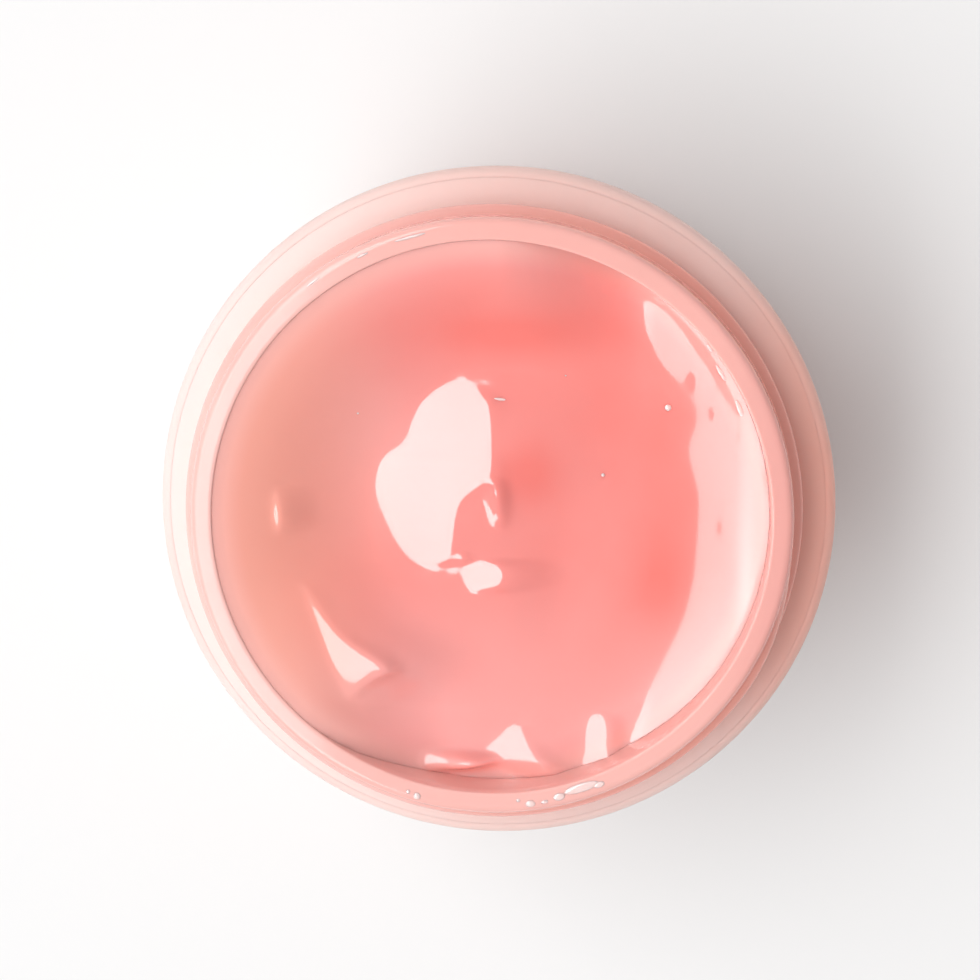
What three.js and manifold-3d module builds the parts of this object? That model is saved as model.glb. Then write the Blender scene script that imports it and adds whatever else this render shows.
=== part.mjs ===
// An open, double-walled cosmetic cream jar with its fill: a frosted outer shell, an inner cup that
// carries the threaded neck and the rim, and the cream. Millimetres, +Z up. The origin is the
// centre of the base, on the surface that the jar stands on.
import * as THREE from "three";
import { mergeVertices } from "three/addons/utils/BufferGeometryUtils.js";
import Module from "manifold-3d";

// Overall sizes
const bodyDiameter = 62; // outside, at the widest level just under the shoulder
const jarHeight = 42.5; // from the base to the rim
const neckHeight = 7; // from the shoulder to the rim
const neckSetIn = 4; // from the body's widest radius in to the neck's wall

// Outer shell
const shellWall = 1.6; // below the seat of the flange
const shellFloor = 1.8;
const lipWall = 0.95; // the thinner wall that stands round the flange
const lipDrop = 1.3; // height of the lip's rounded outer edge
const sideDraft = 2.7; // how far the side runs in, from the widest level down to the base corner
const baseCorner = 4.5; // rounding between the side and the base
const footWidth = 3; // flat ring that the jar stands on
const footRecess = 0.5; // height of the shallow hollow inside the foot ring

// Inner cup
const rimWidth = 2; // flat land on top of the neck's wall
const rimEdge = 0.3; // rounding of the rim's two edges
const flangeThickness = 1.3;
const shoulderSlope = 0.5; // fall of the shoulder from the neck out to the lip
const cupWall = 1.3; // below the flange
const cupFloor = 1.5;
const cupDraft = 1.5; // how far the cup's inside runs in, from the rim down to its floor
const cupCorner = 6; // rounding inside, between the cup's wall and its floor
const airGap = 2.6; // between the cup's floor and the shell's floor

// Neck thread, right-handed
const threadDepth = 0.9;
const threadWidth = 1.7;
const threadPitch = 3;
const threadTurns = 1.35;
const threadTop = 1.9; // from the rim down to the middle of the thread's upper end
const threadRoot = 0.5; // how far the ridge's foot reaches into the neck's wall
const threadRunOut = 0.07; // share of the thread's length over which each end sinks away

// Cream
const fillDepth = 4.6; // from the rim down to the cream

// Clearances
const flangeClearance = 0.1; // between the flange's edge and the lip
const seatClearance = 0.05; // between the flange and its seat
const creamClearance = 0.2; // between the cream and the cup

// Fineness of the turned shapes
const turnSegments = 64;
const curveSegments = 4;
const threadSteps = 72;

// Levels and radii that follow from the sizes
const bodyRadius = bodyDiameter / 2;
const neckRadius = bodyRadius - neckSetIn;
const shoulderZ = jarHeight - neckHeight;
const lipZ = shoulderZ - shoulderSlope;
const widestZ = lipZ - lipDrop;
const seatZ = lipZ - flangeThickness;
const seatOuterRadius = bodyRadius - lipWall;
const flangeRadius = seatOuterRadius - flangeClearance;
const mouthRadius = neckRadius - rimWidth;
const cupFloorZ = shellFloor + airGap + cupFloor;
const fillZ = jarHeight - fillDepth;

// Radius of the cup's inside at a height, from its floor to the rim.
function cupInsideRadius(z) {
  return mouthRadius - (cupDraft * (jarHeight - z)) / (jarHeight - cupFloorZ);
}

// A solid turned round the Z axis. The path is the half section: x is the radius, y the height.
function turned(path) {
  const outline = path.getPoints(curveSegments);
  return new THREE.LatheGeometry(outline, turnSegments).rotateX(Math.PI / 2);
}

const wasm = await Module();
wasm.setup();

function toSolid(geometry) {
  const bare = geometry.clone();
  bare.deleteAttribute("normal");
  bare.deleteAttribute("uv");
  const merged = mergeVertices(bare, 1e-4);
  const vertProperties = new Float32Array(merged.attributes.position.array);
  const triVerts = new Uint32Array(merged.index.array);
  return new wasm.Manifold(new wasm.Mesh({ numProp: 3, vertProperties, triVerts }));
}

function toGeometry(solid) {
  const { vertProperties, triVerts } = solid.getMesh();
  const geometry = new THREE.BufferGeometry();
  geometry.setAttribute("position", new THREE.BufferAttribute(vertProperties, 3));
  geometry.setIndex(new THREE.BufferAttribute(triVerts, 1));
  geometry.computeVertexNormals();
  return geometry;
}

// The shell's side is a shallow curve from the base corner up to the widest level, fullest near the
// top, and cornerRadius is where the side's line would meet the base, so that the two join smoothly.
const sideLow = bodyRadius - sideDraft;
const sideBend = bodyRadius - sideDraft / 4;
const sideMiddleZ = (widestZ + baseCorner) / 2;
const cornerRadius = sideLow - ((sideBend - sideLow) / (sideMiddleZ - baseCorner)) * baseCorner;

function outerShellGeometry() {
  const footOuter = cornerRadius - baseCorner;
  const footInner = footOuter - footWidth;
  const innerLowZ = shellFloor + baseCorner;
  const path = new THREE.Path();
  path.moveTo(0, footRecess);
  path.lineTo(footInner - footRecess, footRecess);
  path.lineTo(footInner, 0);
  path.lineTo(footOuter, 0);
  path.quadraticCurveTo(cornerRadius, 0, sideLow, baseCorner);
  path.quadraticCurveTo(sideBend, sideMiddleZ, bodyRadius, widestZ);
  path.quadraticCurveTo(bodyRadius, lipZ, seatOuterRadius, lipZ);
  path.lineTo(seatOuterRadius, seatZ);
  path.lineTo(bodyRadius - shellWall, seatZ);
  path.lineTo(bodyRadius - shellWall, widestZ - shellWall);
  path.quadraticCurveTo(sideBend - shellWall, sideMiddleZ, sideLow - shellWall, innerLowZ);
  path.quadraticCurveTo(cornerRadius - shellWall, shellFloor, footOuter, shellFloor);
  path.lineTo(0, shellFloor);
  return turned(path);
}

// The helix that the thread follows, from its upper end down. Both ends sink into the neck's wall.
class ThreadCurve extends THREE.Curve {
  getPoint(t, target = new THREE.Vector3()) {
    const angle = -2 * Math.PI * threadTurns * t;
    const fromEnd = Math.min(t, 1 - t) / threadRunOut;
    const sunk = threadDepth * (1 - THREE.MathUtils.smoothstep(fromEnd, 0, 1));
    const radius = neckRadius - sunk;
    const z = jarHeight - threadTop - threadPitch * threadTurns * t;
    return target.set(radius * Math.cos(angle), radius * Math.sin(angle), z);
  }

  // Frames that keep the section upright: its x points out from the neck and its y along the axis.
  computeFrenetFrames(segments) {
    const frames = { tangents: [], normals: [], binormals: [] };
    for (let i = 0; i <= segments; i++) {
      const tangent = this.getTangentAt(i / segments);
      const point = this.getPointAt(i / segments);
      const normal = new THREE.Vector3(point.x, point.y, 0).normalize();
      frames.tangents.push(tangent);
      frames.normals.push(normal);
      frames.binormals.push(new THREE.Vector3().crossVectors(tangent, normal).normalize());
    }
    return frames;
  }
}

function threadGeometry() {
  const section = new THREE.Shape();
  section.moveTo(-threadRoot, -threadWidth / 2);
  section.lineTo(0, -threadWidth / 2);
  section.absellipse(0, 0, threadDepth, threadWidth / 2, -Math.PI / 2, Math.PI / 2);
  section.lineTo(-threadRoot, threadWidth / 2);
  return new THREE.ExtrudeGeometry(section, {
    steps: threadSteps,
    curveSegments: 4,
    bevelEnabled: false,
    extrudePath: new ThreadCurve(),
  });
}

function innerCupGeometry() {
  const flangeUnderZ = seatZ + seatClearance;
  const insideLow = cupInsideRadius(cupFloorZ + cupCorner);
  const outsideTop = cupInsideRadius(flangeUnderZ) + cupWall;
  const outsideLow = insideLow + cupWall;
  const underZ = cupFloorZ - cupFloor;
  const outerCorner = cupCorner + cupFloor;
  const path = new THREE.Path();
  path.moveTo(0, underZ);
  path.lineTo(outsideLow - outerCorner, underZ);
  path.quadraticCurveTo(outsideLow, underZ, outsideLow, underZ + outerCorner);
  path.lineTo(outsideTop, flangeUnderZ);
  path.lineTo(flangeRadius, flangeUnderZ);
  path.lineTo(flangeRadius, lipZ);
  path.lineTo(neckRadius, shoulderZ);
  path.lineTo(neckRadius, jarHeight - rimEdge);
  path.quadraticCurveTo(neckRadius, jarHeight, neckRadius - rimEdge, jarHeight);
  path.lineTo(mouthRadius + rimEdge, jarHeight);
  path.quadraticCurveTo(mouthRadius, jarHeight, mouthRadius, jarHeight - rimEdge);
  path.lineTo(insideLow, cupFloorZ + cupCorner);
  path.quadraticCurveTo(insideLow, cupFloorZ, insideLow - cupCorner, cupFloorZ);
  path.lineTo(0, cupFloorZ);
  return toGeometry(toSolid(turned(path)).add(toSolid(threadGeometry())));
}

// The cream fills the cup up to a level under the rim. Its swirled top is left to the looks.
function creamGeometry() {
  const lowZ = cupFloorZ + creamClearance;
  const cornerZ = cupFloorZ + cupCorner;
  const sideLowRadius = cupInsideRadius(cornerZ) - creamClearance;
  const path = new THREE.Path();
  path.moveTo(0, lowZ);
  path.lineTo(sideLowRadius - cupCorner, lowZ);
  path.quadraticCurveTo(sideLowRadius, lowZ, sideLowRadius, cornerZ);
  path.lineTo(cupInsideRadius(fillZ) - creamClearance, fillZ);
  path.lineTo(0, fillZ);
  return turned(path);
}

function piece(name, geometry, color, roughness) {
  const material = new THREE.MeshStandardMaterial({ color, roughness, metalness: 0 });
  const mesh = new THREE.Mesh(geometry, material);
  mesh.name = name;
  return mesh;
}

const jar = new THREE.Group();
jar.add(piece("outer_shell", outerShellGeometry(), 0xf3e2dd, 0.55));
jar.add(piece("inner_cup", innerCupGeometry(), 0xf6d3cb, 0.25));
jar.add(piece("cream", creamGeometry(), 0xfd978c, 0.2));

export default jar;
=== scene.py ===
"""An open cosmetic cream jar with its swirled gel cream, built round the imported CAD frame.

The frosted outer shell, the inner cup with its threaded neck and the cream are fine meshes that
stand for the plain CAD solids and ride on their bodies. Lengths are metres unless a name says mm.
"""
import math

import bpy
import numpy as np
from mathutils import Matrix, Vector


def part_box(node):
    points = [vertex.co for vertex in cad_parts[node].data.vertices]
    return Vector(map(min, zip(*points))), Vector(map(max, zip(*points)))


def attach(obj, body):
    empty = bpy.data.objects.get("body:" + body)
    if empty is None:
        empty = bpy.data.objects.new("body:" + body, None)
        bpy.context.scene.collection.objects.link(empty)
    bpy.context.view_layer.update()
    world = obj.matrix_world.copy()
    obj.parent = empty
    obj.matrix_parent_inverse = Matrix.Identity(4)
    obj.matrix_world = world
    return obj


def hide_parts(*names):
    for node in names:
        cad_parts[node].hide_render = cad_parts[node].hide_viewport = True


bl_info = {
    "name": "Cream Jar",
    "version": (1, 0, 0),
    "blender": (4, 5, 0),
    "location": "View3D > Sidebar > Cream Jar",
    "description": "Builds an open double-walled cream jar with a swirled gel cream",
    "category": "Object",
}

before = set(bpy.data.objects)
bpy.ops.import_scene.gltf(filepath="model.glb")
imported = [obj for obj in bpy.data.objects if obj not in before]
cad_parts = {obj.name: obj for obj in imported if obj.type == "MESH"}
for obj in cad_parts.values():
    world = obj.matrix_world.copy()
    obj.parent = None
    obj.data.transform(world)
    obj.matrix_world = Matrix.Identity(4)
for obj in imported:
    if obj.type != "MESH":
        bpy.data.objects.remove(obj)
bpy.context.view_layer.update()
SHELL_LOW, SHELL_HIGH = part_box("outer_shell")
CUP_LOW, CUP_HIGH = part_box("inner_cup")
CREAM_LOW, CREAM_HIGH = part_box("cream")
BODY_RADIUS = SHELL_HIGH.x
RIM_Z = CUP_HIGH.z
MM = 0.001
FINE_EDGE = 0.012 * MM  # rounding of the sharp edges at the lip and the flange
SEAT_GAP = 0.05 * MM  # between the flange and the seat under it
FLANGE_GAP = 0.004 * MM  # between the flange and the lip round it
THREAD_RUN_OUT = 0.095  # turns over which the thread fades at each end
PLASTIC_SCATTER = (0.3, 0.22, 0.2)  # mm that red, green and blue light travel in the plastic


# ---------------------------------------------------------------- settings


def length(name, description, default):
    return bpy.props.FloatProperty(
        name=name, description=description, default=default, unit="LENGTH", subtype="DISTANCE"
    )


def share(name, description, default):
    return bpy.props.FloatProperty(
        name=name, description=description, default=default, min=0, max=1, subtype="FACTOR"
    )


def angle(name, description, degrees):
    return bpy.props.FloatProperty(
        name=name, description=description, default=math.radians(degrees), subtype="ANGLE"
    )


def colour(name, description, default):
    return bpy.props.FloatVectorProperty(
        name=name, description=description, default=default, size=3, subtype="COLOR", min=0, max=1
    )


class ShellSettings(bpy.types.PropertyGroup):
    wall: length("Wall", "Thickness of the shell's side", 1.6 * MM)
    floor: length("Floor", "Thickness of the shell's floor", 1.8 * MM)
    lip_wall: length("Lip wall", "Thickness of the lip round the flange", 0.95 * MM)
    lip_drop: length("Lip drop", "Height of the lip's rounded outer edge", 1.3 * MM)
    seat_depth: length("Seat depth", "From the lip down to the flange's seat", 1.3 * MM)
    draft: length("Draft", "How far the side runs in towards the base", 2.7 * MM)
    corner: length("Base corner", "Rounding between side and base", 4.5 * MM)
    foot: length("Foot width", "Width of the flat ring under the base", 3.0 * MM)
    recess: length("Recess", "Height of the hollow inside the foot ring", 0.5 * MM)
    plastic: colour("Plastic", "Colour of the frosted plastic", (0.88, 0.60, 0.545))
    # Painted light: this lighter colour is laid on the side towards the window and the front.
    pale: colour("Pale plastic", "Its colour where the window shines through it", (0.92, 0.73, 0.69))
    # Painted shade: this darker red is laid on the side away from the window, standing in for shade
    # tinted by light through the red neck.
    far_side_shade: colour("Deep plastic", "Its colour where the cream shows through it", (0.95, 0.47, 0.38))


class CupSettings(bpy.types.PropertyGroup):
    neck_height: length("Neck height", "From the shoulder to the rim", 7.0 * MM)
    neck_set_in: length("Neck set-in", "From the widest radius to the neck", 4.0 * MM)
    rim: length("Rim width", "Width of the flat land on the neck", 2.0 * MM)
    rim_edge: length("Rim edge", "Rounding of the rim's outer edge", 0.9 * MM)
    rim_crown: length("Rim crown", "Fall of the rim towards its outer edge", 0.05 * MM)
    rim_inner_edge: length("Rim inner edge", "Rounding of the rim's inner edge", 0.12 * MM)
    slope: length("Shoulder slope", "Fall from the neck to the lip", 0.5 * MM)
    wall: length("Wall", "Thickness below the flange", 1.3 * MM)
    floor: length("Floor", "Thickness of the cup's floor", 1.5 * MM)
    draft: length("Draft", "How far the inside runs in towards the floor", 1.5 * MM)
    corner: length("Corner", "Rounding inside, between wall and floor", 6.0 * MM)
    thread_depth: length("Thread depth", "How far the thread stands out", 0.9 * MM)
    thread_width: length("Thread width", "Width of the thread's foot", 1.7 * MM)
    thread_pitch: length("Thread pitch", "Rise of the thread in a turn", 3.0 * MM)
    thread_top: length("Thread top", "From the rim to the thread's upper end", 1.9 * MM)
    thread_turns: bpy.props.FloatProperty(
        name="Thread turns", description="Turns of the thread", default=1.35
    )
    plastic: colour("Plastic", "Colour of the translucent plastic", (0.95, 0.46, 0.41))
    # Painted light: this lighter colour is laid towards the window and the front, and on the inner
    # wall.
    pale: colour("Pale plastic", "Its colour where the window shines through it", (0.975, 0.56, 0.51))
    # Painted shade: this darker colour is laid on the side away from the window.
    far_side_shade: colour("Deep plastic", "Its colour on the far side", (0.88, 0.36, 0.32))
    # Painted shade: this darker red is laid on the neck's outer wall on the side away from the window.
    neck: colour("Neck", "Colour of the neck's outer wall on the far side", (0.97, 0.40, 0.33))


class CreamSettings(bpy.types.PropertyGroup):
    clearance: length("Clearance", "Between the cream and the cup", 0.006 * MM)
    level: length("Level", "From the rim down to the cream, where it neither dips nor rises", 5.1 * MM)
    spread: length("Softness", "How far the edges of the banks are blended", 0.22 * MM)
    bank_slope: share("Bank slope", "Slope of the bank against the wall", 0.27)
    lobe_slope: share("Lobe slope", "Slope of the peak's flank", 0.22)
    groove: length("Groove", "Half the depth of the spiral groove", 0.04 * MM)
    smear: length("Smear", "How far the gel rises towards the cup's wall", 4.8 * MM)
    gel: colour("Gel", "Colour of the gel", (0.985, 0.285, 0.255))


class StageSettings(bpy.types.PropertyGroup):
    tilt: angle("Tilt", "How far the camera leans from the vertical", 10.5)
    lean: angle("Lean", "Direction of the lean, from +X towards +Y", 67.0)
    distance: length("Distance", "From the camera to the jar's widest level", 260 * MM)
    view_width: length("View width", "Width seen at the widest level", 90.16 * MM)
    aim_right: length("Aim right", "How far right of the axis the camera aims", -0.59 * MM)
    aim_up: length("Aim up", "How far above the axis the camera aims", 1.32 * MM)
    key_height: angle("Window height", "Height of the window light over the floor", 62)
    key_turn: angle("Window turn", "Direction of the window light, from +X", 180)
    key_distance: length("Window distance", "From the rim to the window light", 1.4)
    key_width: length("Window width", "Width of the window light", 2.1)
    key_rise: length("Window rise", "Height of the window light's face", 0.80)
    key_radiance: bpy.props.FloatProperty(
        name="Window strength", description="Radiance of the window light", default=3.55
    )
    room: bpy.props.FloatProperty(
        name="Room strength", description="Radiance of the pale room", default=0.5
    )
    room_fall: bpy.props.FloatProperty(
        name="Room fall", description="How much darker the room is away from the window", default=0.12
    )


# ---------------------------------------------------------------- node maths


class Term:
    """A socket in a node tree. Arithmetic on it adds Math nodes."""

    def __init__(self, tree, socket):
        self.tree = tree
        self.socket = socket

    def math(self, operation, *others):
        values = {i: v for i, v in enumerate((self, *others))}
        return self.tree.add("ShaderNodeMath", {"operation": operation}, values)[0]

    def __add__(self, other):
        return self.math("ADD", other)

    def __radd__(self, other):
        return self.math("ADD", other)

    def __sub__(self, other):
        return self.math("SUBTRACT", other)

    def __rsub__(self, other):
        return self.tree.add("ShaderNodeMath", {"operation": "SUBTRACT"}, {0: other, 1: self})[0]

    def __mul__(self, other):
        return self.math("MULTIPLY", other)

    def __rmul__(self, other):
        return self.math("MULTIPLY", other)

    def __truediv__(self, other):
        return self.math("DIVIDE", other)

    def __rtruediv__(self, other):
        return self.tree.add("ShaderNodeMath", {"operation": "DIVIDE"}, {0: other, 1: self})[0]

    def __pow__(self, other):
        return self.math("POWER", other)

    def smooth(self, low, high):
        """0 below low, 1 above high, smooth between."""
        values = {"Value": self, "From Min": low, "From Max": high, "To Min": 0, "To Max": 1}
        settings = {"interpolation_type": "SMOOTHSTEP"}
        return self.tree.add("ShaderNodeMapRange", settings, values)["Result"]


class Made:
    """A node just added. Its outputs are read by name or number, as Terms."""

    def __init__(self, tree, node):
        self.tree = tree
        self.node = node

    def __getitem__(self, key):
        return Term(self.tree, self.node.outputs[key])


class Tree:
    """Adds nodes to a shader or geometry tree."""

    def __init__(self, node_tree):
        self.nodes = node_tree.nodes
        self.links = node_tree.links

    def add(self, kind, settings=None, values=None):
        node = self.nodes.new(kind)
        for key, value in (settings or {}).items():
            setattr(node, key, value)
        for key, value in (values or {}).items():
            self.put(node.inputs[key], value)
        return Made(self, node)

    def put(self, socket, value):
        if isinstance(value, Made):
            value = value[0]
        if isinstance(value, Term):
            self.links.new(value.socket, socket)
        elif isinstance(value, tuple) and len(value) == 3 and len(socket.default_value) == 4:
            socket.default_value = (*value, 1)
        else:
            socket.default_value = value

    def mix(self, factor, a, b):
        """A colour between a and b."""
        node = self.nodes.new("ShaderNodeMix")
        node.data_type = "RGBA"
        self.put(node.inputs[0], factor)
        self.put(node.inputs[6], a)
        self.put(node.inputs[7], b)
        return Term(self, node.outputs[2])

    def noise(self, place, scale, detail=2.0, roughness=0.5):
        values = {"Vector": place, "Scale": scale, "Detail": detail, "Roughness": roughness}
        return self.add("ShaderNodeTexNoise", None, values)["Fac"]

    def bump(self, height, strength, distance, normal=None):
        values = {"Height": height, "Strength": strength, "Distance": distance}
        if normal is not None:
            values["Normal"] = normal
        return self.add("ShaderNodeBump", None, values)["Normal"]


def from_axis(part):
    """Distance of a place from the jar's axis."""
    return (part["X"] * part["X"] + part["Y"] * part["Y"]) ** 0.5


def new_material(name):
    material = bpy.data.materials.new(name)
    material.use_nodes = True
    material.node_tree.nodes.clear()
    return material, Tree(material.node_tree)


def end_material(tree, values):
    shader = tree.add("ShaderNodeBsdfPrincipled", {"subsurface_method": "BURLEY"}, values)
    tree.add("ShaderNodeOutputMaterial", None, {"Surface": shader["BSDF"]})


def new_geometry_tree(name, sizes):
    """A geometry tree whose inputs are a geometry, the named sizes and a material."""
    group = bpy.data.node_groups.new(name, "GeometryNodeTree")
    sockets = group.interface
    sockets.new_socket("Geometry", in_out="INPUT", socket_type="NodeSocketGeometry")
    for size in sizes:
        sockets.new_socket(size, in_out="INPUT", socket_type="NodeSocketFloat")
    sockets.new_socket("Material", in_out="INPUT", socket_type="NodeSocketMaterial")
    sockets.new_socket("Geometry", in_out="OUTPUT", socket_type="NodeSocketGeometry")
    tree = Tree(group)
    return group, tree, tree.add("NodeGroupInput")


def end_geometry_tree(tree, given, geometry):
    """Makes the result real and gives it the tree's material."""
    real = tree.add("GeometryNodeRealizeInstances", None, {"Geometry": geometry})
    values = {"Geometry": real, "Material": given["Material"]}
    painted = tree.add("GeometryNodeSetMaterial", None, values)
    tree.add("NodeGroupOutput", None, {"Geometry": painted})


# ---------------------------------------------------------------- meshes


def arc(start, bend, end, steps=8):
    """Points of a curve from start to end that bends towards a third point, without its start."""
    points = []
    for i in range(1, steps + 1):
        t = i / steps
        a, b, c = (1 - t) ** 2, 2 * t * (1 - t), t * t
        points.append(tuple(a * s + b * m + c * e for s, m, e in zip(start, bend, end)))
    return points


def straight(start, end, steps):
    """Evenly spaced points from start to end, without the start."""
    return [
        tuple(s + (e - s) * i / steps for s, e in zip(start, end)) for i in range(1, steps + 1)
    ]


def new_object(name, vertices, faces):
    mesh = bpy.data.meshes.new(name)
    mesh.from_pydata(vertices, [], faces)
    mesh.validate()
    mesh.update()
    obj = bpy.data.objects.new(name, mesh)
    bpy.context.scene.collection.objects.link(obj)
    return obj


def turned(name, outline, segments):
    """A closed solid turned round the Z axis. The outline starts and ends on the axis."""
    inner = outline[1:-1]
    turns = [2 * math.pi * k / segments for k in range(segments)]
    vertices = [(r * math.cos(a), r * math.sin(a), z) for r, z in inner for a in turns]
    faces = []
    for i in range(len(inner) - 1):
        for k in range(segments):
            n = (k + 1) % segments
            low, high = i * segments, (i + 1) * segments
            faces.append((low + k, low + n, high + n, high + k))
    first, last = len(vertices), len(vertices) + 1
    vertices += [(0, 0, outline[0][1]), (0, 0, outline[-1][1])]
    top = (len(inner) - 1) * segments
    for k in range(segments):
        n = (k + 1) % segments
        faces.append((first, n, k))
        faces.append((last, top + k, top + n))
    return new_object(name, vertices, faces)


def finish_piece(obj, material, body, node, sharp_degrees=35):
    """Shades the piece, hangs it on its body and lets it stand for its CAD node."""
    mesh = obj.data
    mesh.materials.clear()
    mesh.materials.append(material)
    mesh.shade_smooth()
    mesh.set_sharp_from_angle(angle=math.radians(sharp_degrees))
    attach(obj, body)
    if node:
        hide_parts(node)


# ---------------------------------------------------------------- outer shell


def shell_outline(s):
    lip_z = SHELL_HIGH.z
    widest_z = lip_z - s.lip_drop
    seat_z = lip_z - s.seat_depth
    seat_radius = BODY_RADIUS - s.lip_wall
    low = BODY_RADIUS - s.draft
    bend = BODY_RADIUS - s.draft / 4
    middle_z = (widest_z + s.corner) / 2
    corner = low - (bend - low) / (middle_z - s.corner) * s.corner
    foot_out = corner - s.corner
    foot_in = foot_out - s.foot
    inside_low_z = s.floor + s.corner
    edge = FINE_EDGE
    roof = s.recess
    gate_radius, stub_radius = 1.6 * MM, 0.7 * MM
    gate_z, stub_z = roof + 0.15 * MM, roof - 0.1 * MM
    points = [(0, stub_z), (stub_radius, stub_z)]
    points += [(stub_radius + 0.05 * MM, gate_z), (gate_radius, gate_z)]
    flat = (gate_radius + 4 * edge, roof)
    points += arc((gate_radius + edge, roof), (gate_radius + 2 * edge, roof), flat, 3)
    points += straight(flat, (foot_in - 2 * roof, roof), 6)
    halfway = (foot_in - roof / 2, roof / 2)
    points += arc((foot_in - 2 * roof, roof), (foot_in - roof, roof), halfway, 4)
    points += arc(halfway, (foot_in, 0), (foot_in + roof, 0), 4)
    points += straight((foot_in + roof, 0), (foot_out, 0), 3)
    points += arc((foot_out, 0), (corner, 0), (low, s.corner), 14)
    points += arc((low, s.corner), (bend, middle_z), (BODY_RADIUS, widest_z), 20)
    points += arc((BODY_RADIUS, widest_z), (BODY_RADIUS, lip_z), (seat_radius + edge, lip_z), 12)
    points += arc((seat_radius + edge, lip_z), (seat_radius, lip_z), (seat_radius, lip_z - edge), 4)
    points += straight((seat_radius, lip_z - edge), (seat_radius, seat_z), 2)
    points += straight((seat_radius, seat_z), (BODY_RADIUS - s.wall, seat_z), 2)
    start = (BODY_RADIUS - s.wall, widest_z - s.wall)
    points += straight((BODY_RADIUS - s.wall, seat_z), start, 2)
    points += arc(start, (bend - s.wall, middle_z), (low - s.wall, inside_low_z), 16)
    points += arc((low - s.wall, inside_low_z), (corner - s.wall, s.floor), (foot_out, s.floor), 12)
    points += straight((foot_out, s.floor), (0, s.floor), 6)
    return points


def painted_light_and_shade(tree, place, plain, pale, far_side_shade):
    """Painted light and shade on a plastic: lighter towards the window and the front, a darker red on
    the side away from the window.
    """
    part = tree.add("ShaderNodeSeparateXYZ", None, {0: place})
    x, y = part["X"], part["Y"]
    # Painted light towards the front (-Y) and towards the window (-X); painted shade towards +X.
    base = tree.mix((1.0 - y.smooth(-0.030, -0.010)) * 0.5, tuple(plain), tuple(pale))
    base = tree.mix(1.0 - x.smooth(-0.030, 0.004), base, tuple(pale))
    return tree.mix(x.smooth(0.019, 0.032), base, tuple(far_side_shade))


def shell_material(s):
    material, tree = new_material("frosted_shell_plastic")
    place = tree.add("ShaderNodeTexCoord")["Object"]
    cloud = tree.noise(place, 60, 3)
    grain = tree.noise(place, 5200, 2, 0.6)
    orange = tree.noise(place, 900, 2)
    # Painted light and shade: lighter towards the window and the front, darker red on the far side.
    base = painted_light_and_shade(tree, place, s.plastic, s.pale, s.far_side_shade)
    base = tree.mix(cloud.smooth(0.35, 0.7) * 0.3, base, tuple(0.9 * c for c in s.plastic))
    scuffs = tree.noise(place, 240, 6, 0.7).smooth(0.62, 0.72)
    height = grain + orange * 1.5
    values = {
        "Base Color": base,
        "Roughness": 0.46 + cloud * 0.08 - scuffs * 0.08,
        "IOR": 1.49,
        "Subsurface Weight": 1.0,
        "Subsurface Radius": PLASTIC_SCATTER,
        "Subsurface Scale": 0.001,
        "Normal": tree.bump(height, 0.12, 0.00004),
    }
    end_material(tree, values)
    return material


class CREAMJAR_OT_shell(bpy.types.Operator):
    """Builds the frosted outer shell with its foot ring and its lip"""

    bl_idname = "creamjar.shell"
    bl_label = "Build outer shell"

    def execute(self, context):
        s = context.scene.jar_shell
        obj = turned("outer_shell_frosted", shell_outline(s), 256)
        finish_piece(obj, shell_material(s), "shell_body", "outer_shell")
        return {"FINISHED"}


# ---------------------------------------------------------------- inner cup


def neck_radius(c):
    return BODY_RADIUS - c.neck_set_in


def cup_inside_radius(c, z):
    """Radius of the cup's inside at a height. It also takes an array of heights."""
    floor_z = CUP_LOW.z + c.floor
    return neck_radius(c) - c.rim - c.draft * (RIM_Z - z) / (RIM_Z - floor_z)


def cup_outline(c, s):
    neck = neck_radius(c)
    mouth = neck - c.rim
    shoulder_z = RIM_Z - c.neck_height
    edge_z = shoulder_z - c.slope
    under_z = CUP_LOW.z
    floor_z = under_z + c.floor
    flange = BODY_RADIUS - s.lip_wall - FLANGE_GAP
    flange_z = SHELL_HIGH.z - s.seat_depth + SEAT_GAP
    inside_low = cup_inside_radius(c, floor_z + c.corner)
    outside_low = inside_low + c.wall
    outside_top = cup_inside_radius(c, flange_z) + c.wall
    outer_corner = c.corner + c.floor
    e, inner = c.rim_edge, c.rim_inner_edge
    small = FINE_EDGE
    root = 0.45 * MM
    root_z = shoulder_z - 0.08 * MM
    points = [(0, under_z)]
    points += straight((0, under_z), (outside_low - outer_corner, under_z), 5)
    turn = (outside_low, under_z + outer_corner)
    points += arc((outside_low - outer_corner, under_z), (outside_low, under_z), turn, 14)
    points += straight(turn, (outside_top, flange_z - small), 12)
    inset = (outside_top + small, flange_z)
    points += arc((outside_top, flange_z - small), (outside_top, flange_z), inset, 4)
    points += straight(inset, (flange - small, flange_z), 3)
    points += arc((flange - small, flange_z), (flange, flange_z), (flange, flange_z + small), 4)
    points += straight((flange, flange_z + small), (flange, edge_z - small), 2)
    points += arc((flange, edge_z - small), (flange, edge_z), (flange - small, edge_z), 5)
    points += straight((flange - small, edge_z), (neck + root, root_z), 6)
    points += arc((neck + root, root_z), (neck, shoulder_z), (neck, shoulder_z + root), 6)
    edge_top = RIM_Z - c.rim_crown
    points += straight((neck, shoulder_z + root), (neck, edge_top - e), 140)
    points += arc((neck, edge_top - e), (neck, edge_top), (neck - e, edge_top), 12)
    points += straight((neck - e, edge_top), (mouth + inner, RIM_Z), 4)
    bend = (mouth + 0.3 * inner, RIM_Z - 0.3 * inner)
    points += arc((mouth + inner, RIM_Z), bend, (mouth, RIM_Z - inner), 10)
    low = (inside_low, floor_z + c.corner)
    points += straight((mouth, RIM_Z - inner), low, 24)
    points += arc(low, (inside_low, floor_z), (inside_low - c.corner, floor_z), 12)
    points += straight((inside_low - c.corner, floor_z), (0, floor_z), 5)
    return points


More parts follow.
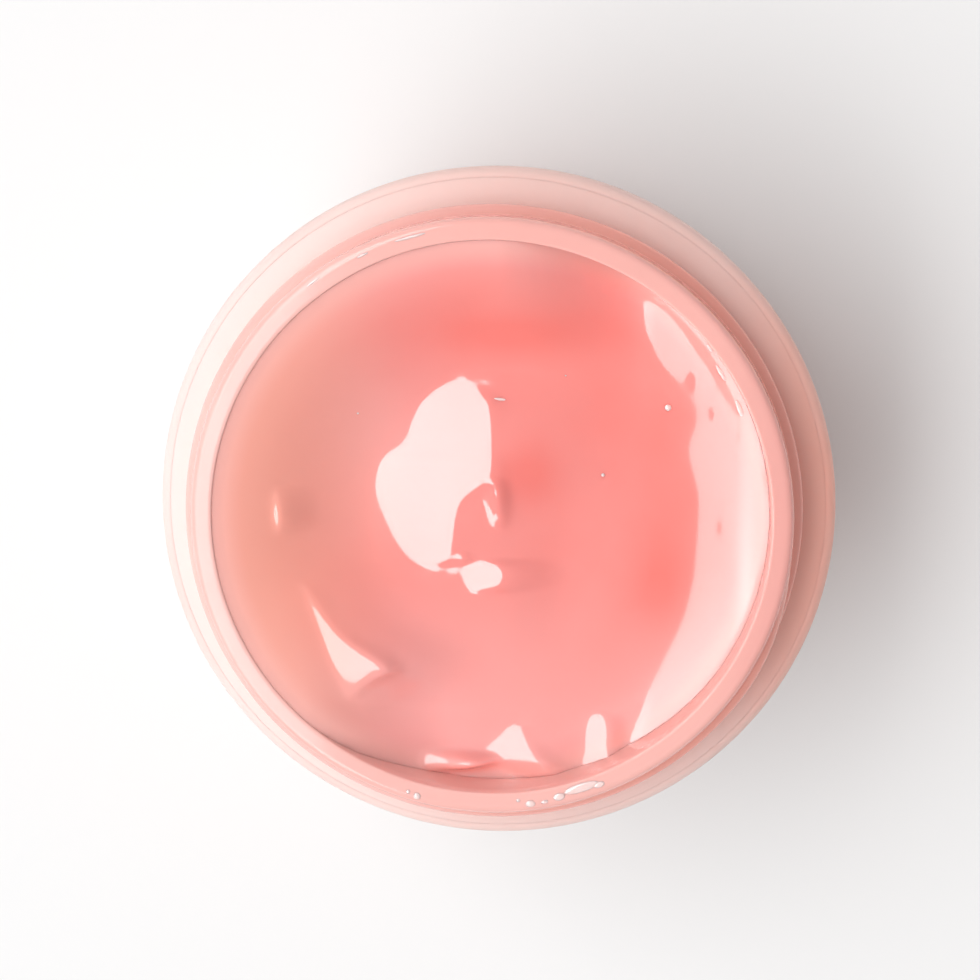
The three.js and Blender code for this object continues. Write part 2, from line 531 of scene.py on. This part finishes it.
def thread_tree():
    """A geometry tree that raises a right-handed thread out of the neck's outer wall."""
    sizes = ("Neck radius", "Shoulder", "Top", "Pitch", "Turns", "Width", "Depth")
    group, tree, given = new_geometry_tree("neck_thread", sizes)
    place = tree.add("ShaderNodeSeparateXYZ", None, {0: tree.add("GeometryNodeInputPosition")})
    x, y, z = place["X"], place["Y"], place["Z"]
    radius = from_axis(place)
    turn = y.math("ARCTAN2", x) / (2 * math.pi)
    below = (given["Top"] - z) / given["Pitch"]
    along = (below + turn).math("ROUND") - turn
    across = (below - along) * given["Pitch"] / (given["Width"] * 0.5)
    ridge = (1.0 - across * across).math("MAXIMUM", 0.0) ** 1.1
    from_end = along.math("MINIMUM", given["Turns"] - along)
    fade = from_end.smooth(0.0, THREAD_RUN_OUT)
    on_neck = (radius - given["Neck radius"] + 0.02 * MM).math("GREATER_THAN", 0.0)
    on_neck = on_neck * (z - given["Shoulder"]).math("GREATER_THAN", 0.0)
    lift = ridge * fade * on_neck * given["Depth"]
    offset = tree.add("ShaderNodeCombineXYZ", None, {0: x / radius * lift, 1: y / radius * lift})
    values = {"Geometry": given["Geometry"], "Offset": offset}
    end_geometry_tree(tree, given, tree.add("GeometryNodeSetPosition", None, values))
    return group


def apply_tree(obj, group, values):
    """Runs a geometry tree on the object and keeps its result as a plain mesh."""
    modifier = obj.modifiers.new(group.name, "NODES")
    modifier.node_group = group
    for item in group.interface.items_tree:
        if item.in_out == "INPUT" and item.name in values:
            modifier[item.identifier] = values[item.name]
    bpy.context.view_layer.update()
    graph = bpy.context.evaluated_depsgraph_get()
    mesh = bpy.data.meshes.new_from_object(obj.evaluated_get(graph), depsgraph=graph)
    obj.modifiers.remove(modifier)
    obj.data = mesh
    return obj


def cup_material(c, s):
    material, tree = new_material("inner_cup_plastic")
    place = tree.add("ShaderNodeTexCoord")["Object"]
    part = tree.add("ShaderNodeSeparateXYZ", None, {0: place})
    radius = from_axis(part)
    neck = neck_radius(c)
    shoulder_z = RIM_Z - c.neck_height
    shoulder = radius.smooth(neck + 0.2 * MM, neck + 0.6 * MM)
    shoulder = shoulder * (1.0 - part["Z"].smooth(shoulder_z, shoulder_z + 0.4 * MM))
    cloud = tree.noise(place, 90, 3)
    smudge = tree.noise(place, 420, 5, 0.65).smooth(0.55, 0.7)
    waves = tree.noise(place, 260, 2)
    grain = tree.noise(place, 5200, 2)
    # Painted light and shade by side, as on the shell.
    base = painted_light_and_shade(tree, place, c.plastic, c.pale, c.far_side_shade)
    base = tree.mix(cloud.smooth(0.3, 0.7) * 0.3, base, tuple(0.9 * v for v in c.plastic))
    # Painted light: the inner wall is lightened where it stands in shade beside the cream.
    inside = 1.0 - radius.smooth(neck - c.rim - 0.05 * MM, neck - c.rim + 0.15 * MM)
    base = tree.mix(inside * 0.8, base, tuple(c.pale))
    # Painted shade on the neck's outer wall, on the side away from the window.
    neck_shade_side = radius.smooth(neck - 0.2 * MM, neck) * part["X"].smooth(-0.012, 0.020)
    base = tree.mix(neck_shade_side, base, tuple(c.neck))
    # The shoulder takes the shell's colours with their painted light and shade.
    base = tree.mix(shoulder, base, painted_light_and_shade(tree, place, s.plastic, s.pale, s.far_side_shade))
    height = waves * 0.6 + grain * shoulder * 0.8
    values = {
        "Base Color": base,
        "Roughness": 0.08 + smudge * 0.07 + shoulder * 0.38,
        "IOR": 1.58,
        "Subsurface Weight": 1.0,
        "Subsurface Radius": PLASTIC_SCATTER,
        "Subsurface Scale": 0.001,
        "Normal": tree.bump(height, 0.10, 0.00006),
    }
    end_material(tree, values)
    return material


class CREAMJAR_OT_cup(bpy.types.Operator):
    """Builds the inner cup with its shoulder, its threaded neck and its rim"""

    bl_idname = "creamjar.cup"
    bl_label = "Build inner cup"

    def execute(self, context):
        c = context.scene.jar_cup
        material = cup_material(c, context.scene.jar_shell)
        obj = turned("inner_cup_neck", cup_outline(c, context.scene.jar_shell), 288)
        sizes = {
            "Neck radius": neck_radius(c),
            "Shoulder": RIM_Z - c.neck_height,
            "Top": RIM_Z - c.thread_top,
            "Pitch": c.thread_pitch,
            "Turns": c.thread_turns,
            "Width": c.thread_width,
            "Depth": c.thread_depth,
            "Material": material,
        }
        apply_tree(obj, thread_tree(), sizes)
        finish_piece(obj, material, "cup_body", "inner_cup", 70)
        return {"FINISHED"}


# ---------------------------------------------------------------- cream

# Banks of gel, each with a foot line and a crest line. A row is a place along Y, then the foot's
# X and the crest's X there, in mm from the jar's axis. The gel rises from the foot to the crest.
PEAK_FLANK = [
    (-5.3, -5.5, -5.3), (-5.0, -6.2, -5.0), (-4.4, -7.3, -4.5), (-3.5, -8.2, -4.15),
    (-2.5, -8.9, -4.0), (-1.5, -9.4, -3.9), (-0.7, -9.8, -3.85), (0, -10.05, -3.7),
    (0.7, -10.3, -3.5), (1.6, -10.6, -2.9), (2.2, -10.7, -2.15), (2.8, -10.7, -1.35),
    (3.3, -10.65, -0.8), (3.9, -10.5, -0.5), (4.7, -10.1, -0.4), (5.2, -9.4, -0.4),
    (5.7, -8.6, -0.45), (6.6, -7.9, -0.45),
    (8.5, -7.3, -0.5), (9.9, -6.8, -0.7), (10.7, -6.1, -1.1), (11.3, -5.5, -1.7),
    (11.9, -4.5, -2.6),
]
CURL_TIP = [
    (-0.2, 0.0, 0.35), (0.4, -0.3, 0.25), (1.1, -0.65, 0.1), (1.8, -1.0, 0.0),
    (2.6, -1.35, -0.1), (3.4, -1.6, -0.2),
]
LEFT_STREAK = [(-1.6, -19.6, -19.3), (-0.3, -19.9, -19.3), (1.0, -19.9, -19.4), (2.4, -19.7, -19.5)]
BLOB_BELOW = [
    (-7.3, -2.2, -1.0), (-6.6, -2.6, 0.2), (-5.7, -2.9, 0.7), (-4.9, -2.7, 0.5), (-4.3, -2.3, -0.5),
]
SMALL_BLOB = [(-4.6, -3.5, -3.3), (-4.1, -3.8, -2.9), (-3.6, -3.5, -3.3)]
LEFT_WEDGE = [
    (-17.0, -13.5, -13.0), (-16.4, -13.8, -12.6), (-15.2, -14.3, -11.4), (-14.3, -14.6, -9.8),
    (-13.6, -14.9, -10.1), (-13.1, -15.05, -10.6), (-12.2, -15.4, -11.9), (-11.0, -15.8, -13.7),
    (-9.4, -16.4, -15.2), (-8.1, -16.9, -16.1), (-7.0, -17.3, -16.8), (-6.2, -17.6, -17.4),
]
FRONT_FIN = [
    (-24.6, 1.6, 5.2), (-24.0, 0.6, 5.0), (-23.4, -0.5, 4.6), (-22.8, -1.3, 4.1),
    (-22.3, -1.0, 3.6), (-21.5, -0.1, 3.0), (-20.7, 0.7, 2.5), (-20.1, 1.2, 2.2), (-19.8, 1.6, 1.9),
]
FRONT_DROP = [(-24.0, -7.0, -4.4), (-23.5, -7.3, -2.8), (-23.0, -7.2, -2.0), (-22.4, -6.8, -3.4)]
FRONT_TOOTH = [
    (-23.6, 7.6, 9.4), (-23.0, 7.6, 10.0), (-21.4, 7.95, 10.2), (-20.5, 8.15, 10.2),
    (-19.2, 8.6, 10.0), (-18.7, 8.9, 9.8),
]
WALL_BANK = [
    (-23.5, 11.5, 12.6), (-21.9, 12.0, 14.6), (-19.1, 13.1, 18.0), (-15.4, 14.7, 21.4),
    (-11.7, 16.5, 23.4), (-8.1, 17.8, 24.8), (-4.4, 18.3, 25.4), (-0.7, 18.5, 25.4),
    (2.5, 18.5, 25.4), (4.4, 17.8, 25.2), (6.0, 17.3, 24.9), (6.8, 17.3, 24.3), (7.6, 18.2, 22.9),
    (9.4, 18.0, 21.6), (10.3, 17.5, 21.0), (11.7, 16.4, 20.1), (13.6, 14.7, 18.7),
    (15.4, 13.8, 17.4), (16.3, 13.3, 16.8), (17.3, 12.95, 16.0), (18.2, 12.8, 15.1),
    (19.4, 12.6, 13.3),
]
# Small swellings and hollows of the cream's top: X, Y, size and height in mm, and the stretch
# along Y.
DIMPLES = [
    (0.7, 1.3, 0.8, 0.45, 2.4), (0.7, -0.6, 0.6, 0.22, 1.0), (21.2, -1.2, 0.9, -0.16, 2.4),
    (20.0, 9.0, 0.4, -0.07, 2.2), (22.3, 7.1, 0.3, -0.09, 2.6), (18.2, 12.2, 0.5, -0.14, 1.5),
]
# Bubbles and specks of gel on the cream and on the rim, pale pink so that they also show as painted
# glints;
# the last three, on the rim's upper left, stand for highlight dashes along its edge. X, Y and size
# in mm, and the stretch along the rim.
DROPS = [
    (9.9, 3.5, 0.16, 1), (15.7, 9.6, 0.30, 1), (0.6, 10.4, 0.14, 4), (-12.2, 9.0, 0.10, 1),
    (6.5, 12.5, 0.08, 1), (22.2, 9.4, 0.22, 5), (20.4, 12.8, 0.18, 5), (19.4, 15.0, 0.16, 3),
    (-6.6, -25.4, 0.32, 1), (-7.4, -25.0, 0.18, 1), (3.7, -25.9, 0.32, 1.4), (2.6, -25.6, 0.18, 1),
    (5.0, -25.7, 0.16, 2), (6.3, -25.2, 0.34, 1.6), (8.3, -24.3, 0.42, 4), (9.9, -24.0, 0.26, 2),
    (-15.6, 21.2, 0.10, 7), (-11.2, 23.6, 0.11, 5), (-7.0, 25.2, 0.12, 12),
]
FIELD_STEP = 0.1  # mm between the places where the cream's height is worked out
FIELD_HALF = 27.0  # mm from the axis to the edge of that square


def smooth(t):
    t = np.clip(t, 0, 1)
    return t * t * (3 - 2 * t)


def curve_through(at, places, values):
    """A smooth curve through given values, flat beyond them."""
    places, values = np.array(places, float), np.array(values, float)
    slopes = np.gradient(values, places)
    i = np.clip(np.searchsorted(places, at) - 1, 0, len(places) - 2)
    gap = places[i + 1] - places[i]
    t = np.clip((at - places[i]) / gap, 0, 1)
    t2, t3 = t * t, t * t * t
    return (
        (2 * t3 - 3 * t2 + 1) * values[i]
        + (t3 - 2 * t2 + t) * gap * slopes[i]
        + (3 * t2 - 2 * t3) * values[i + 1]
        + (t3 - t2) * gap * slopes[i + 1]
    )


def bank(x, y, rows, slope, fall, keep=0.0):
    """Height of a bank of gel, and how far a place lies behind its crest, from 0 to 1.

    Behind its crest the bank falls to a share of itself over a distance.
    """
    places, feet, crests = zip(*rows)
    foot = curve_through(y, places, feet)
    width = np.clip(curve_through(y, places, crests) - foot, 0, None)
    width *= smooth((y - places[0]) / 0.4 + 0.5) * smooth((places[-1] - y) / 0.4 + 0.5)
    bend = 0.3
    ahead = x - foot - 0.3
    rise = np.minimum(0.5 * (ahead + np.sqrt(ahead * ahead + bend * bend)), width)
    behind = smooth((ahead - width) / fall)
    inside = smooth((y - places[0]) / 1.5 + 1) * smooth((places[-1] - y) / 1.5 + 1)
    past = smooth((ahead - width - 0.3) / 1.5) * inside * (1 - keep)
    return slope * rise * (1 - (1 - keep) * behind), past


def dimple(x, y, centre_x, centre_y, size, height, stretch):
    """A round swelling, or a hollow where its height is negative, stretched along Y."""
    u = (x - centre_x) / size
    v = (y - centre_y) / (size * stretch)
    return height * np.exp(-(u * u + v * v))


def blurred(field, sigma):
    reach = int(4 * sigma / FIELD_STEP)
    weights = np.exp(-0.5 * (np.arange(-reach, reach + 1) * FIELD_STEP / sigma) ** 2)
    weights /= weights.sum()
    for axis in (0, 1):
        padded = np.pad(field, [(reach, reach) if a == axis else (0, 0) for a in (0, 1)], "edge")
        field = np.apply_along_axis(lambda row: np.convolve(row, weights, "valid"), axis, padded)
    return field


def cream_field(g):
    """The height of the cream's top on a square grid, in mm."""
    side = np.linspace(-FIELD_HALF, FIELD_HALF, int(2 * FIELD_HALF / FIELD_STEP) + 1)
    x, y = np.meshgrid(side, side)
    r = np.hypot(x, y)
    h = np.full_like(r, (RIM_Z - g.level) / MM)
    behind = np.zeros_like(r)
    upper = smooth((y - 5.5) / 4)
    ends = smooth((y - 9.5) / 3)
    large = (
        (WALL_BANK, g.bank_slope * (1 - 0.25 * upper), 4.0, 1.0),
        (PEAK_FLANK, g.lobe_slope * (1 - 0.35 * ends), 13.0, 0.0),
        (LEFT_WEDGE, 0.46, 9.0, 0.0),
        (FRONT_FIN, 0.26, 5.0, 0.0),
    )
    small = (
        (CURL_TIP, 0.30, 1.5),
        (LEFT_STREAK, 0.95, 3.5),
        (BLOB_BELOW, 0.22, 6.0),
        (SMALL_BLOB, 0.45, 1.2),
        (FRONT_DROP, 0.40, 3.0),
        (FRONT_TOOTH, 0.32, 2.0),
    )
    for rows, slope, fall, keep in large:
        rise, past = bank(x, y, rows, slope, fall, keep)
        h += rise
        behind = np.maximum(behind, past)
    # The top dips towards the back right, and a shallow spiral groove runs round it.
    h -= 0.12 * np.clip(y - 6.5, 0, 10) * smooth((x - 3) / 11)
    turns = np.arctan2(y, x) / (2 * np.pi) + r / 13.0
    groove = np.cos(2 * np.pi * turns) * smooth((r - 4) / 5) * smooth((24 - r) / 5)
    h += g.groove / MM * groove * (1 - smooth((x - 8) / 6))
    # The gel is smeared up the wall on the left, hardly at the front, and swells in a low mound.
    front = smooth((-y - 12) / 6) * smooth((x + 17) / 13)
    rise = g.smear / MM * smooth((r - 11) / 14) * (1 - 0.9 * front)
    h += rise * (1 - smooth((x - 0.5) / 13))
    mound = 0.15 * np.clip(-y - 0.5, 0, 7.0) * (1 - smooth((-y - 8) / 9))
    h += mound * smooth((x + 22) / 10) * (1 - smooth((x - 1) / 6))
    h += (blurred(h, 1.3) - h) * blurred(behind, 0.4)
    for rows, slope, fall in small:
        h += bank(x, y, rows, slope, fall)[0]
    for row in DIMPLES:
        h += dimple(x, y, *row)
    creep = 0.22 * smooth((r - 23.9) / 1.6)
    return blurred(h, g.spread / MM) + creep


def field_at(field, x, y):
    """The field's value at places given in mm."""
    last = field.shape[0] - 1.001
    u = np.clip((x + FIELD_HALF) / FIELD_STEP, 0, last)
    v = np.clip((y + FIELD_HALF) / FIELD_STEP, 0, last)
    i, j = u.astype(int), v.astype(int)
    a, b = u - i, v - j
    near = field[j, i] * (1 - a) + field[j, i + 1] * a
    far = field[j + 1, i] * (1 - a) + field[j + 1, i + 1] * a
    return near * (1 - b) + far * b


def cream_mesh(g, c):
    """The cream as one closed body: its swirled top, its side against the cup and its bottom."""
    field = cream_field(g)
    spokes, rings = 420, 150
    turn = np.linspace(0, 2 * np.pi, spokes, endpoint=False)
    edge = np.full(spokes, cup_inside_radius(c, RIM_Z - g.level)) / MM
    for _ in range(4):
        height = field_at(field, edge * np.cos(turn), edge * np.sin(turn)) * MM
        edge = (cup_inside_radius(c, height) - g.clearance) / MM
    vertices = [(0, 0, float(field_at(field, np.zeros(1), np.zeros(1))[0]) * MM)]
    for ring in range(1, rings + 1):
        x, y = ring / rings * edge * np.cos(turn), ring / rings * edge * np.sin(turn)
        z = field_at(field, x, y)
        vertices += list(zip(x * MM, y * MM, z * MM))
    floor_z = CUP_LOW.z + c.floor + g.clearance
    low_z = floor_z + c.corner
    low = cup_inside_radius(c, low_z) - g.clearance
    profile = straight((1, 1), (0, 0), 12)
    top_z = np.array([v[2] for v in vertices[-spokes:]])
    for share_up, _ in profile:
        z = low_z + (top_z - low_z) * share_up
        r = cup_inside_radius(c, z) - g.clearance
        vertices += list(zip(r * np.cos(turn), r * np.sin(turn), z))
    corner = arc((low, low_z), (low, floor_z), (low - c.corner, floor_z), 10)
    corner += straight((low - c.corner, floor_z), (0.001, floor_z), 8)
    for r, z in corner:
        vertices += list(zip(r * np.cos(turn), r * np.sin(turn), np.full(spokes, z)))
    total_rings = rings + len(profile) + len(corner)
    vertices.append((0, 0, floor_z))
    last = len(vertices) - 1
    faces = [(0, 1 + k, 1 + (k + 1) % spokes) for k in range(spokes)]
    for ring in range(total_rings - 1):
        a, b = 1 + ring * spokes, 1 + (ring + 1) * spokes
        for k in range(spokes):
            n = (k + 1) % spokes
            faces.append((a + k, b + k, b + n, a + n))
    start = 1 + (total_rings - 1) * spokes
    faces += [(last, start + (k + 1) % spokes, start + k) for k in range(spokes)]
    return vertices, faces


def cream_material(g):
    material, tree = new_material("coral_gel")
    place = tree.add("ShaderNodeTexCoord")["Object"]
    part = tree.add("ShaderNodeSeparateXYZ", None, {0: place})
    radius = from_axis(part)
    cloud = tree.noise(place, 75, 3).smooth(0.42, 0.68)
    haze = tree.noise(place, 170, 3)
    x, y = part["X"] / MM, part["Y"] / MM

    def spot(cx, cy, width, height):
        u, v = (x - cx) / width, (y - cy) / height
        return (0.0 - u * u - v * v).math("EXPONENT")

    turns = y.math("ARCTAN2", x) / (2 * math.pi) + radius / (15 * MM)
    swirl = (turns * (2 * math.pi)).math("COSINE") * 0.5 + 0.5
    swirl = swirl * radius.smooth(0.004, 0.011) * (1.0 - radius.smooth(0.019, 0.023))
    # Darker red patches: partly the gel's own deeper tone, partly painted shade in the spiral groove
    # and on the far flank beside the peak.
    red = spot(3.4, 3.6, 3.0, 3.2) + spot(2, 16.5, 9.0, 2.4) + spot(15, -7, 2.6, 4.0) * 0.8
    red = red + spot(-9.5, 13, 3.5, 3.5) * 0.6 + swirl * 0.3 + cloud * 0.25
    # Painted light: the gel is lightened towards the front, near the cup's wall and in two patches on
    # the left where it lies in shade.
    light = 1.0 - y.smooth(-20.0, -4.0) + radius.smooth(0.0195, 0.0245) * 0.7
    light = light + spot(-12, 9, 7, 8) * 0.9 + spot(-8.5, -17, 5, 5) * 0.6
    # Painted light: the gel is lightened and made more orange on the side towards the window.
    painted_window_light = 1.0 - x.smooth(-22.0, -6.0)
    gel = tuple(g.gel)
    base = tree.mix(red.math("MINIMUM", 1.0), gel, (gel[0], gel[1] * 0.72, gel[2] * 0.68))
    base = tree.mix((light * 0.8).math("MINIMUM", 1.0), base, (gel[0], gel[1] * 1.38, gel[2] * 1.45))
    film = 1.0 - x.smooth(13.0, 15.0) * 0.62 * (1.0 - spot(22.8, -4, 0.8, 9.0) * 0.8)
    film = film - radius.smooth(0.012, 0.016) * 0.36 * (1.0 - x.smooth(11.0, 15.0))
    base = tree.mix(painted_window_light * 0.8, base, (gel[0], gel[1] * 1.42, gel[2] * 1.2))
    # Painted light: the gel is lightened again at its edge, where it meets the cup's wall in shade.
    base = tree.mix(radius.smooth(0.0222, 0.0248) * 0.7, base, (gel[0], gel[1] * 1.7, gel[2] * 1.7))
    values = {
        "Base Color": base,
        "Roughness": 0.10 + haze * 0.06,
        "IOR": 1.5,
        "Subsurface Weight": 1.0,
        "Subsurface Radius": (1.1, 0.8, 0.7),
        "Subsurface Scale": 0.001,
        "Coat Weight": film,
        "Coat IOR": 1.82,
        "Coat Roughness": 0.08,
        "Normal": tree.bump(haze, 0.08, 0.0002),
    }
    end_material(tree, values)
    return material


def droplet_tree():
    """A geometry tree that sets a small flattened ball on each point."""
    group, tree, given = new_geometry_tree("droplets", ("Flatness",))
    ball = tree.add("GeometryNodeMeshIcoSphere", None, {"Radius": 1.0, "Subdivisions": 3})
    smoothed = tree.add("GeometryNodeSetShadeSmooth", None, {"Geometry": ball["Mesh"]})
    size = tree.add("GeometryNodeInputNamedAttribute", None, {"Name": "size"})["Attribute"]
    stretch = tree.add("GeometryNodeInputNamedAttribute", None, {"Name": "stretch"})["Attribute"]
    scale = tree.add(
        "ShaderNodeCombineXYZ", None, {0: size, 1: size * stretch, 2: size * given["Flatness"]}
    )
    place = tree.add("ShaderNodeSeparateXYZ", None, {0: tree.add("GeometryNodeInputPosition")})
    turn = place["Y"].math("ARCTAN2", place["X"])
    rotation = tree.add("ShaderNodeCombineXYZ", None, {0: 0.0, 1: 0.0, 2: turn})
    points = tree.add("GeometryNodeMeshToPoints", None, {"Mesh": given["Geometry"]})
    values = {"Points": points, "Instance": smoothed, "Rotation": rotation, "Scale": scale}
    end_geometry_tree(tree, given, tree.add("GeometryNodeInstanceOnPoints", None, values))
    return group


def droplet_material():
    material, tree = new_material("gel_droplet")
    place = tree.add("ShaderNodeTexCoord")["Object"]
    cloud = tree.noise(place, 800, 2)
    values = {
        # Pale pink, lighter than the gel: partly the specks' own tone, partly a painted glint.
        "Base Color": tree.mix(cloud, (0.98, 0.62, 0.58), (0.98, 0.78, 0.75)),
        "Roughness": 0.06 + cloud * 0.04,
        "IOR": 1.5,
        "Subsurface Weight": 1.0,
        "Subsurface Radius": (0.4, 0.25, 0.2),
        "Subsurface Scale": 0.001,
        "Coat Weight": 1.0,
        "Coat IOR": 1.6,
    }
    end_material(tree, values)
    return material


class CREAMJAR_OT_droplets(bpy.types.Operator):
    """Sets small bubbles and specks of gel on the cream and on the cup's rim"""

    bl_idname = "creamjar.droplets"
    bl_label = "Add droplets"

    def execute(self, context):
        g, c = context.scene.jar_cream, context.scene.jar_cup
        field = cream_field(g)
        rim_starts = cup_inside_radius(c, RIM_Z) / MM - 0.2
        sunk_in_rim = 0.05
        vertices = []
        for x, y, _, _ in DROPS:
            if math.hypot(x, y) > rim_starts:
                z = RIM_Z / MM - sunk_in_rim
            else:
                z = field_at(field, np.array([x]), np.array([y]))[0]
            vertices.append((x * MM, y * MM, float(z) * MM))
        obj = new_object("cream_droplets", vertices, [])
        for name, column, unit in (("size", 2, MM), ("stretch", 3, 1)):
            attribute = obj.data.attributes.new(name, "FLOAT", "POINT")
            attribute.data.foreach_set("value", [drop[column] * unit for drop in DROPS])
        material = droplet_material()
        apply_tree(obj, droplet_tree(), {"Flatness": 0.4, "Material": material})
        finish_piece(obj, material, "cup_body", None, 180)
        return {"FINISHED"}


class CREAMJAR_OT_cream(bpy.types.Operator):
    """Builds the gel cream with its swirled top"""

    bl_idname = "creamjar.cream"
    bl_label = "Build cream"

    def execute(self, context):
        g = context.scene.jar_cream
        vertices, faces = cream_mesh(g, context.scene.jar_cup)
        obj = new_object("cream_swirl", vertices, faces)
        finish_piece(obj, cream_material(g), "cup_body", "cream", 60)
        return {"FINISHED"}


# ---------------------------------------------------------------- stage


def camera_axes(t):
    """Unit vectors towards the camera, to its right and up."""
    towards = Vector((
        math.sin(t.tilt) * math.cos(t.lean), math.sin(t.tilt) * math.sin(t.lean), math.cos(t.tilt)
    ))
    up = (Vector((0, 1, 0)) - towards * towards.y).normalized()
    return towards, up.cross(towards), up


def place_camera(t):
    towards, right, up = camera_axes(t)
    data = bpy.data.cameras.new("camera")
    data.sensor_width = 36
    data.lens = data.sensor_width * t.distance / t.view_width
    data.clip_start = 0.01
    camera = bpy.data.objects.new("camera", data)
    bpy.context.scene.collection.objects.link(camera)
    widest_z = SHELL_HIGH.z - bpy.context.scene.jar_shell.lip_drop
    aim = Vector((0, 0, widest_z)) + right * t.aim_right + up * t.aim_up
    turn = Matrix((right, up, towards)).transposed().to_4x4()
    camera.matrix_world = Matrix.Translation(aim + towards * t.distance) @ turn
    bpy.context.scene.camera = camera


def place_window(t):
    direction = Vector((
        math.cos(t.key_height) * math.cos(t.key_turn),
        math.cos(t.key_height) * math.sin(t.key_turn),
        math.sin(t.key_height),
    ))
    data = bpy.data.lights.new("window", "AREA")
    data.shape = "RECTANGLE"
    data.size = t.key_width
    data.size_y = t.key_rise
    data.energy = t.key_radiance * math.pi * t.key_width * t.key_rise
    light = bpy.data.objects.new("window", data)
    bpy.context.scene.collection.objects.link(light)
    light.location = Vector((0, 0, RIM_Z)) + direction * t.key_distance
    light.rotation_euler = direction.to_track_quat("Z", "Y").to_euler()


def place_room(t):
    world = bpy.data.worlds.new("pale_room")
    bpy.context.scene.world = world
    world.use_nodes = True
    tree = Tree(world.node_tree)
    back = world.node_tree.nodes["Background"]
    back.inputs["Color"].default_value = (1, 1, 1, 1)
    way = tree.add("ShaderNodeSeparateXYZ", None, {0: tree.add("ShaderNodeTexCoord")["Generated"]})
    tree.put(back.inputs["Strength"], t.room - way["X"] * t.room_fall)


def place_floor():
    half = 1.5
    corners = [(-half, -half, 0), (half, -half, 0), (half, half, 0), (-half, half, 0)]
    floor = new_object("pale_floor", corners, [(0, 1, 2, 3)])
    material, tree = new_material("pale_floor")
    end_material(tree, {"Base Color": (0.86, 0.86, 0.86), "Roughness": 0.7})
    floor.data.materials.append(material)


class CREAMJAR_OT_stage(bpy.types.Operator):
    """Sets the camera, the window light, the pale room and the floor"""

    bl_idname = "creamjar.stage"
    bl_label = "Set stage"

    def execute(self, context):
        t = context.scene.jar_stage
        place_camera(t)
        place_window(t)
        place_room(t)
        place_floor()
        context.scene.view_settings.view_transform = "Standard"
        return {"FINISHED"}


# ---------------------------------------------------------------- panel and main


class CREAMJAR_PT_panel(bpy.types.Panel):
    """Lists the jar's builders"""

    bl_label = "Cream Jar"
    bl_idname = "CREAMJAR_PT_panel"
    bl_space_type = "VIEW_3D"
    bl_region_type = "UI"
    bl_category = "Cream Jar"

    def draw(self, context):
        for builder in OPERATORS:
            self.layout.operator(builder.bl_idname)


SETTINGS = {
    "jar_shell": ShellSettings,
    "jar_cup": CupSettings,
    "jar_cream": CreamSettings,
    "jar_stage": StageSettings,
}
OPERATORS = (
    CREAMJAR_OT_stage,
    CREAMJAR_OT_shell,
    CREAMJAR_OT_cup,
    CREAMJAR_OT_cream,
    CREAMJAR_OT_droplets,
)


def register():
    for group in SETTINGS.values():
        bpy.utils.register_class(group)
    for cls in (*OPERATORS, CREAMJAR_PT_panel):
        bpy.utils.register_class(cls)
    for name, group in SETTINGS.items():
        setattr(bpy.types.Scene, name, bpy.props.PointerProperty(type=group))


def unregister():
    for name in SETTINGS:
        delattr(bpy.types.Scene, name)
    for cls in (CREAMJAR_PT_panel, *reversed(OPERATORS)):
        bpy.utils.unregister_class(cls)
    for group in reversed(SETTINGS.values()):
        bpy.utils.unregister_class(group)


def main():
    register()
    bpy.ops.creamjar.stage()
    bpy.ops.creamjar.shell()
    bpy.ops.creamjar.cup()
    bpy.ops.creamjar.cream()
    bpy.ops.creamjar.droplets()


if __name__ == "__main__":
    main()
